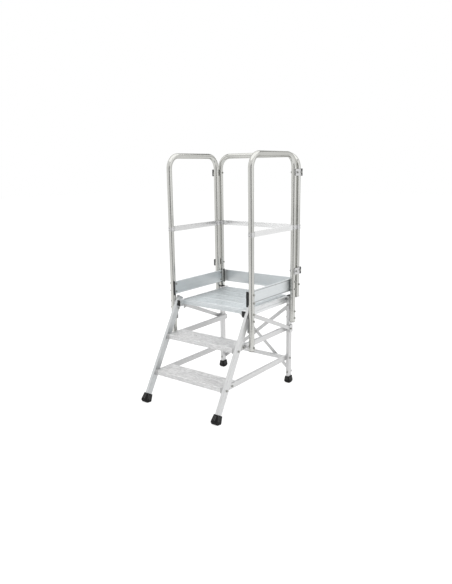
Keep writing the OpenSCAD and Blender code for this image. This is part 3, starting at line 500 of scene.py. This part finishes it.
def make_boot(name, node, stand, form):
    """A boot whose form gives half sizes at its base and collar and the pitches of its ribs."""
    shape = rounded_copy(node, boot_edge)
    (base_x, base_y), (collar_x, collar_y) = form["base"], form["collar"]
    rise, middle = form["top"] - sole_top, (form["top"] + sole_top) / 2
    slope_x, slope_y = math.atan2(base_x - collar_x, rise), math.atan2(base_y - collar_y, rise)
    rib_length = rise * rib_share_of_rise
    finishes = [rubber, rib_rubber]
    on_ribs = finishes.index(rib_rubber)
    for way in (-1, 1):
        tilt = Matrix.Rotation(-way * slope_x, 4, "Y")
        for k in (-1, 0, 1):
            at = Matrix.Translation((way * (base_x + collar_x) / 2, k * form["side_ribs"], middle))
            add_bar(shape, stand @ at @ tilt, (rib_thick, side_rib_width, rib_length), rib_edge, on_ribs)
        tilt = Matrix.Rotation(way * slope_y, 4, "X")
        for k in (-0.5, 0.5):
            at = Matrix.Translation((k * form["end_ribs"], way * (base_y + collar_y) / 2, middle))
            add_bar(shape, stand @ at @ tilt, (end_rib_width, rib_thick, rib_length), rib_edge, on_ribs)
    new_piece(name, shape, node_body[node], finishes, hides=[node])


for side in ("left", "right"):
    foot_x = middle_of(side + "_front_foot").x
    stile_middle = middle_of(side + "_stile")
    foot_y = stile_middle.y - stile_middle.z * math.tan(lean)
    stand = Matrix.Translation((foot_x, foot_y, 0.0)) @ Matrix.Rotation(-lean, 4, "X")
    make_boot(side + "_front_boot", side + "_front_foot", stand, front_boot)
    stand = Matrix.Translation((foot_x, middle_of(side + "_rear_foot").y, 0.0))
    make_boot(side + "_rear_boot", side + "_rear_foot", stand, rear_boot)


# Grips: soft edges and thumb ridges above the hook
grip_edge = 0.0007
ridge_count, ridge_size, ridge_pitch, ridge_edge = 4, 0.0018, 0.0038, 0.0005
first_ridge_rise = 0.0115


def make_grip(name, node):
    shape = rounded_copy(node, grip_edge)
    low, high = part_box(node)
    outer_x = high.x if high.x > 0 else low.x
    size, middle = high - low, (low + high) / 2
    for k in range(ridge_count):
        at = Matrix.Translation((outer_x, middle.y, middle.z + first_ridge_rise + ridge_pitch * k))
        add_bar(shape, at, (ridge_size, size.y * 0.8, ridge_size), ridge_edge)
    new_piece(name, shape, node_body[node], [grip_plastic], hides=[node])


for side in ("left", "right"):
    for level in ("lower", "upper"):
        make_grip(f"{side}_{level}_ridged_grip", f"{side}_{level}_grip")


# Clamp screws: two in the back of each band that holds a mid rail
tube_radius, band_radius = 0.02, 0.023
screw_radius, screw_height, screw_offset = 0.0042, 0.0028, 0.009


def screw_mesh(place, facing):
    """A pan-head screw with a sunk socket, its seat at place."""
    shape = bmesh.new()
    bmesh.ops.create_cone(shape, cap_ends=True, segments=16, radius1=screw_radius, radius2=screw_radius * 0.86,
                          depth=screw_height)
    top = max(shape.faces, key=lambda face: face.calc_center_median().z)
    bmesh.ops.bevel(shape, geom=list(top.edges), offset=screw_height * 0.3, affect="EDGES", segments=3,
                    profile=0.5, material=-1)
    top = max(shape.faces, key=lambda face: face.calc_center_median().z if face.normal.z > 0.99 else -1.0)
    bmesh.ops.inset_region(shape, faces=[top], thickness=screw_radius * 0.28)
    sunk = bmesh.ops.extrude_face_region(shape, geom=[top])["geom"]
    sunk = [part for part in sunk if isinstance(part, bmesh.types.BMVert)]
    bmesh.ops.translate(shape, vec=(0.0, 0.0, -screw_height * 0.5), verts=sunk)
    bmesh.ops.delete(shape, geom=[top], context="FACES_ONLY")
    turn = Matrix.Translation(place) @ Vector(facing).to_track_quat("Z", "Y").to_matrix().to_4x4()
    seat = Matrix.Translation((0.0, 0.0, screw_height / 2))
    bmesh.ops.transform(shape, matrix=turn @ seat, verts=shape.verts)
    return mesh_of("clamp_screw", shape)


def make_clamp_screws():
    places = []
    for side in ("left", "right"):
        low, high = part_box(side + "_hoop")
        rail = middle_of(side + "_mid_rail")
        out = math.copysign(1.0, rail.x)
        places.append(((rail.x, low.y + tube_radius - band_radius, rail.z), (0.0, -1.0, 0.0)))
        places.append(((rail.x, high.y - tube_radius + band_radius, rail.z), (0.0, 1.0, 0.0)))
        places.append(((rail.x + out * band_radius, middle_of("rear_mid_rail").y, rail.z), (out, 0.0, 0.0)))
    shape = bmesh.new()
    for place, facing in places:
        for offset in (-screw_offset, screw_offset):
            screw = screw_mesh(Vector(place) + Vector((0.0, 0.0, offset)), facing)
            shape.from_mesh(screw)
            bpy.data.meshes.remove(screw)
    new_piece("clamp_screws", shape, node_body["mid_rail_clamps"], [zinc])


make_clamp_screws()


# Floor, light and camera

aim = (0.0, 0.0, 0.9)


def pale_floor():
    """Pale ground that lights the part, seen as white with a faint shadow."""
    material, r = new_finish("pale_floor")
    mirrored = r.ray_is("Glossy", "Transmission")
    seen = mirrored.most(r.ray_is("Camera"))
    mottle = r.noise(r.place(), 3.0, 3.0)
    pale = r.node("ShaderNodeBsdfDiffuse", {}, {"Color": r.blend(mottle, grey(0.80), grey(0.82))})
    faint = r.node("ShaderNodeBsdfDiffuse", {}, {"Color": grey(0.26)})
    glow = r.node("ShaderNodeEmission", {}, {"Color": white, "Strength": 0.88 - 0.12 * mirrored})
    lit = r.node("ShaderNodeAddShader", {}, {0: faint, 1: glow})
    mixed = r.node("ShaderNodeMixShader", {}, {0: seen, 1: pale, 2: lit})
    r.node("ShaderNodeOutputMaterial", {}, {"Surface": mixed})
    shape = bmesh.new()
    bmesh.ops.create_grid(shape, x_segments=2, y_segments=2, size=30.0)
    floor = put("floor", mesh_of("floor", shape))
    floor.data.materials.append(material)


def white_room(level):
    """White to the camera and in polished metal, and dimmer as a light on dull surfaces."""
    world = bpy.data.worlds.new("white_room")
    bpy.context.scene.world = world
    world.use_nodes = True
    r = Recipe(world.node_tree)
    seen = r.ray_is("Camera", "Glossy", "Transmission")
    dim = r.node("ShaderNodeBackground", {}, {"Color": white, "Strength": level})
    full = r.node("ShaderNodeBackground", {}, {"Color": white, "Strength": 1.0})
    mixed = r.node("ShaderNodeMixShader", {}, {0: seen, 1: dim, 2: full})
    r.node("ShaderNodeOutputWorld", {}, {"Surface": mixed})


def dark_card(name, middle, facing, width, height, level):
    """A studio card that shows only in polished metal, as a darker line."""
    material, r = new_finish(name)
    shade = r.node("ShaderNodeBsdfDiffuse", {}, {"Color": grey(level)})
    r.node("ShaderNodeOutputMaterial", {}, {"Surface": shade})
    shape = bmesh.new()
    bmesh.ops.create_grid(shape, x_segments=1, y_segments=1, size=0.5)
    bmesh.ops.scale(shape, vec=(width, height, 1.0), verts=shape.verts)
    turn = (Vector(facing) - Vector(middle)).to_track_quat("Z", "Y").to_matrix().to_4x4()
    bmesh.ops.transform(shape, matrix=Matrix.Translation(middle) @ turn, verts=shape.verts)
    card = put(name, mesh_of(name, shape))
    card.data.materials.append(material)
    for ray in ("camera", "diffuse", "transmission", "shadow"):
        setattr(card, "visible_" + ray, False)


def soft_lamp(name, place, size, power):
    """A square softbox with a dark back, so that metal shows the box and not the room behind it."""
    lamp = bpy.data.lights.new(name, "AREA")
    lamp.shape = "SQUARE"
    lamp.size = size
    lamp.energy = power
    facing = Vector(aim) - Vector(place)
    held = put(name, lamp)
    held.location = place
    held.rotation_euler = facing.to_track_quat("-Z", "Y").to_euler()
    back_gap, back_level = 0.05, 0.05
    dark_card(name + "_back", Vector(place) - back_gap * facing.normalized(), aim, size, size, back_level)


def photo_camera():
    """The camera that was fitted to points of the photo, with its focal length in pixels."""
    place, focal_length, photo_height = (2.58125, -3.32263, 1.73978), 561.08, 584
    yaw, pitch, roll = (math.radians(angle) for angle in (37.214, 12.5, -0.822))
    ahead = Vector((-math.sin(yaw) * math.cos(pitch), math.cos(yaw) * math.cos(pitch), -math.sin(pitch)))
    level = Vector((math.cos(yaw), math.sin(yaw), 0.0))
    over = level.cross(ahead)
    right = math.cos(roll) * level + math.sin(roll) * over
    top = math.cos(roll) * over - math.sin(roll) * level
    lens = bpy.data.cameras.new("photo_camera")
    lens.sensor_fit = "VERTICAL"
    lens.sensor_height = 36.0
    lens.lens = focal_length / photo_height * lens.sensor_height
    held = put("photo_camera", lens)
    held.matrix_world = Matrix.Translation(place) @ Matrix((right, top, -ahead)).transposed().to_4x4()
    bpy.context.scene.camera = held


bpy.context.scene.view_settings.view_transform = "Standard"
pale_floor()
white_room(0.6)
soft_lamp("left_softbox", (-5.0, -0.4, 2.8), 4.4, 70.0)
soft_lamp("right_softbox", (4.2, 1.0, 3.0), 4.0, 58.0)
soft_lamp("top_softbox", (0.0, 0.3, 4.6), 5.6, 147.0)
soft_lamp("front_softbox", (-1.6, -5.4, 2.2), 3.6, 34.0)
dark_card("dark_card_behind_camera", (3.9, -5.0, 1.7), aim, 3.0, 5.0, 0.08)
# This card lies on the floor; the slight tilt of its facing turns its length along the line of sight
dark_card("dark_card_under_camera", (2.84, -3.47, 0.02), (2.837, -3.466, 1.02), 2.8, 4.6, 0.42)
dark_card("grey_ceiling", (0.0, 1.5, 5.2), (0.0, 1.5, 0.0), 9.0, 8.0, 0.62)
photo_camera()
